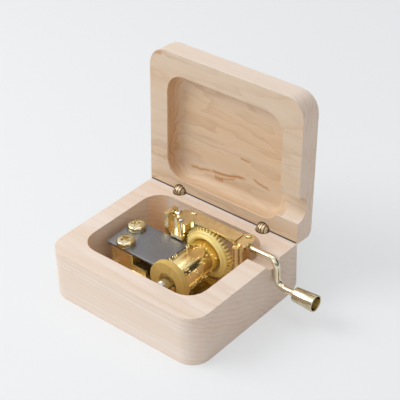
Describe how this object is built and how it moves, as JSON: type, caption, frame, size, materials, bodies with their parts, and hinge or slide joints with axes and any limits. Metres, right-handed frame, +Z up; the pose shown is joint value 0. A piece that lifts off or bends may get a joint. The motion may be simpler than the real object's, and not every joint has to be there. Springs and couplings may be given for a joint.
{
  "type": "hand crank music box",
  "caption": "Small maple box with a hinged lid, a crank through its right wall and a comb and pinned drum movement inside.",
  "frame": {"origin": "middle of the underside of the box, which the crank isn't counted in", "axes": "+X to the right along the crank shaft, +Y to the back where the hinges are, +Z up"},
  "size_m": [0.1014, 0.0787, 0.0881],
  "materials": {
    "maple": "bare sanded maple",
    "gold": "satin gold plate",
    "brass": "polished",
    "pale_gold": "bright pale gold plate",
    "old_brass": "antique",
    "comb_steel": "ground",
    "bright_steel": "bright",
    "yellow_plastic": "moulded, semi-gloss"
  },
  "bodies": {
    "box": {"box_base": "maple", "bedplate": "gold", "comb": "comb_steel", "comb_screw_front": "pale_gold", "comb_screw_rear": "pale_gold", "top_plate": "gold", "rivet_left": "gold", "rivet_right": "gold", "plate_stud": "bright_steel", "floor_screw_left": "bright_steel", "floor_screw_right": "bright_steel", "hinge_base_left": "old_brass", "hinge_base_right": "old_brass", "hinge_pin_left": "old_brass", "hinge_pin_right": "old_brass"},
    "lid": {"box_lid": "maple", "hinge_lid_left": "old_brass", "hinge_lid_right": "old_brass"},
    "crank": {"crank_wire": "pale_gold", "worm": "brass", "thrust_washer": "bright_steel", "shaft_collar": "brass", "knob_retainer": "brass"},
    "knob": {"crank_knob": "pale_gold"},
    "cylinder": {"drum": "brass", "drum_end_disc": "yellow_plastic", "drum_gear": "yellow_plastic", "drum_arbor": "bright_steel"}
  },
  "joints": [
    {"name": "lid_hinge", "type": "hinge", "parent": "box", "child": "lid", "pos_m": [0, 0.03195, 0.02355], "axis": [1, 0, 0], "range_deg": [0, 93.5]},
    {"name": "crank_turn", "type": "hinge", "parent": "box", "child": "crank", "pos_m": [0.00866, 0.01645, 0.0254], "axis": [1, 0, 0], "continuous": true},
    {"name": "knob_spin", "type": "hinge", "parent": "crank", "child": "knob", "pos_m": [0.05121, 0.01645, 0.0128], "axis": [1, 0, 0], "continuous": true},
    {"name": "cylinder_turn", "type": "hinge", "parent": "box", "child": "cylinder", "pos_m": [0.00866, 0.00032, 0.0158], "axis": [0, 1, 0], "continuous": true}
  ],
  "couplings": [
    {"joint": "cylinder_turn", "follows": "crank_turn", "ratio": -0.02381}
  ]
}
